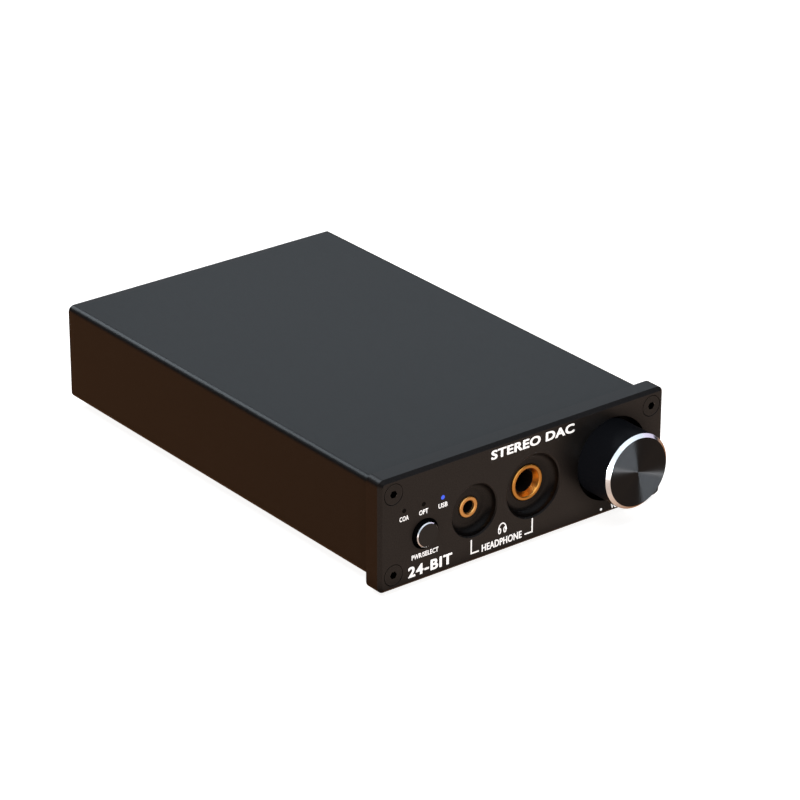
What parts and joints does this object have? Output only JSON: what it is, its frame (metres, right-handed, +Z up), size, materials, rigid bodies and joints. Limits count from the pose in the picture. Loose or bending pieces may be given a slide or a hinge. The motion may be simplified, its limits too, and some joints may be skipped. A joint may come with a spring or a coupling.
{
  "type": "desktop dac",
  "caption": "Low black box with a thick front panel: dished headphone sockets, push button, indicators and large volume knob; power, digital and line connectors behind.",
  "frame": {"origin": "at desk height under the middle of the whole object, knob and rear connectors included", "axes": "+Y from the front panel to the rear, +X to the right seen from the front, +Z up"},
  "size_m": [0.097, 0.1656, 0.0335],
  "materials": {
    "panel_black_anodised": "milled, fine bead blast, black anodised",
    "sleeve_black_anodised": "extruded, fine bead blast, black anodised",
    "knob_black_anodised": "turned, black anodised, polished chamfer",
    "button_anodised": "turned, black anodised, bright edge",
    "black_steel": "black oxide",
    "bright_steel": "nickel plated",
    "tinned_metal": "tinned",
    "gold_plate": "gold plated, polished",
    "contact_bronze": "spring bronze",
    "black_plastic": "moulded",
    "grey_plastic": "moulded",
    "white_plastic": "moulded",
    "red_plastic": "moulded",
    "orange_plastic": "moulded",
    "relay_plastic": "moulded",
    "foot_rubber": "matt",
    "clear_guide": "clear acrylic",
    "led_lens": "water-clear epoxy",
    "chip_epoxy": "moulded epoxy",
    "capacitor_sleeve": "shrunk sleeve",
    "film_red": "moulded",
    "ferrite": "ferrite",
    "board_green": "solder mask on fibreglass"
  },
  "bodies": {
    "case": {"chip_resistors": "chip_epoxy", "circuit_board": "board_green", "coaxial_socket_insulator": "orange_plastic", "crystals": "bright_steel", "dac_chip": "chip_epoxy", "dc_socket_centre_pin": "bright_steel", "dc_socket_housing": "black_plastic", "dc_socket_pins": "tinned_metal", "digital_receiver_chip": "chip_epoxy", "film_capacitors": "film_red", "front_panel": "panel_black_anodised", "front_panel_screws": "black_steel", "headphone_amplifier_chip": "chip_epoxy", "housing_sleeve": "sleeve_black_anodised", "indicator_leds": "led_lens", "large_jack_bushing": "gold_plate", "large_jack_contacts": "contact_bronze", "large_jack_housing": "black_plastic", "led_holder": "black_plastic", "led_leads": "tinned_metal", "left_output_insulator": "white_plastic", "light_guides": "clear_guide", "op_amp_sockets": "black_plastic", "op_amps": "chip_epoxy", "optical_detector": "led_lens", "optical_socket_housing": "black_plastic", "output_relay": "relay_plastic", "potentiometer_housing": "bright_steel", "potentiometer_nut": "bright_steel", "potentiometer_pins": "tinned_metal", "potentiometer_washer": "bright_steel", "power_inductors": "ferrite", "rear_panel": "panel_black_anodised", "rear_panel_screws": "black_steel", "regulator_lead_frames": "tinned_metal", "right_output_insulator": "red_plastic", "round_socket_contacts": "contact_bronze", "round_socket_housings": "black_plastic", "round_socket_pins": "tinned_metal", "round_socket_shells": "gold_plate", "rubber_feet": "foot_rubber", "small_capacitors": "capacitor_sleeve", "small_jack_bushing": "gold_plate", "small_jack_contacts": "contact_bronze", "small_jack_housing": "black_plastic", "supply_capacitors": "capacitor_sleeve", "switch_housing": "black_plastic", "switch_pins": "tinned_metal", "usb_receiver_chip": "chip_epoxy", "usb_socket_contacts": "gold_plate", "usb_socket_insert": "white_plastic", "usb_socket_shell": "bright_steel", "voltage_regulators": "chip_epoxy"},
    "volume_control": {"volume_knob": "knob_black_anodised", "knob_grub_screw": "black_steel", "potentiometer_shaft": "bright_steel"},
    "push_button": {"select_button": "button_anodised", "switch_plunger": "black_plastic"},
    "optical_flap": {"optical_socket_shutter": "grey_plastic"}
  },
  "joints": [
    {"name": "volume_turn", "type": "hinge", "parent": "case", "child": "volume_control", "pos_m": [0.0303, -0.0771, 0.01725], "axis": [0, 1, 0], "range_deg": [-150, 150]},
    {"name": "select_press", "type": "slide", "parent": "case", "child": "push_button", "axis": [0, 1, 0], "range_m": [0, 0.0005], "stiffness_N_per_m": 1500},
    {"name": "optical_shutter_swing", "type": "hinge", "parent": "case", "child": "optical_flap", "pos_m": [-0.0085, 0.07395, 0.0193], "axis": [-1, 0, 0], "range_deg": [0, 85], "stiffness_Nm_per_rad": 0.0005}
  ]
}
